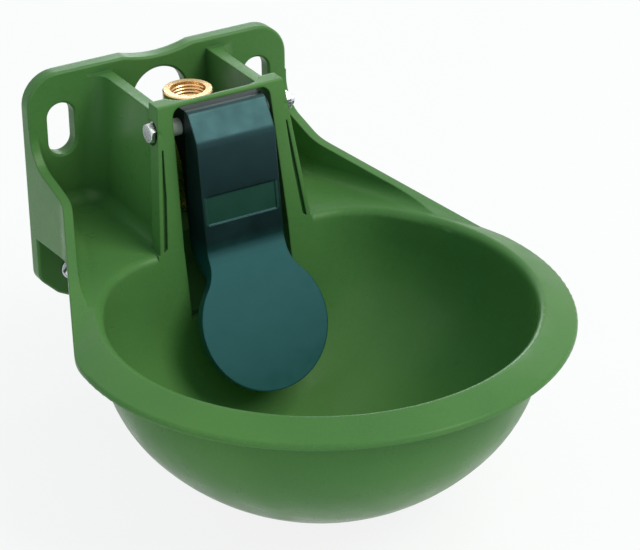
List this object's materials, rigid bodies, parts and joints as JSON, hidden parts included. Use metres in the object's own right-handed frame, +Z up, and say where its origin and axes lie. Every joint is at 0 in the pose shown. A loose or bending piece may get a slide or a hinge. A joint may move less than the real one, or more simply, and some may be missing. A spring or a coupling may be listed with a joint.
{
  "type": "livestock drinking bowl",
  "caption": "Wall-mounted cast drinking bowl for livestock, with a tongue paddle that pushes the stem of a half-inch brass water valve behind it.",
  "frame": {"origin": "on the wall plane, midway between the centres of the two upper fixing slots", "axes": "+Z up, +Y into the wall, +X to the right seen by the animal, which stands on the -Y side"},
  "size_m": [0.251, 0.2994, 0.1805],
  "materials": {
    "enamel": "gloss vitreous enamel",
    "paddle": "gloss",
    "bush": "satin",
    "bolt": "bright zinc plate",
    "brass": "cast and turned",
    "stainless": "bright",
    "rubber": "matt"
  },
  "bodies": {
    "bowl": {"bowl_body": "enamel", "pivot_bolt": "bolt", "pivot_nut": "bolt", "pivot_washers": "bolt", "valve_body": "brass", "inlet_strainer": "stainless", "valve_seat": "brass", "seat_gasket": "rubber", "stem_guide": "brass", "return_spring": "stainless", "deck_washer": "rubber", "lock_nut": "brass", "drain_plug": "brass", "plug_seal": "rubber", "lower_washers": "bolt", "lower_screws": "bolt"},
    "paddle": {"paddle": "paddle", "pivot_bushes": "bush"},
    "stem": {"valve_stem": "stainless", "valve_disc": "rubber", "disc_nut": "brass"}
  },
  "joints": [
    {"name": "paddle_hinge", "type": "hinge", "parent": "bowl", "child": "paddle", "pos_m": [0, -0.072, 0.0175], "axis": [1, 0, 0], "range_deg": [0, 6.5], "stiffness_Nm_per_rad": 1, "springref_deg": -8.59},
    {"name": "stem_slide", "type": "slide", "parent": "bowl", "child": "stem", "axis": [0, 1, 0], "range_m": [0, 0.0032], "deforming": ["return_spring"]}
  ],
  "couplings": [
    {"joint": "stem_slide", "follows": "paddle_hinge", "m_per_rad": 0.0275}
  ]
}
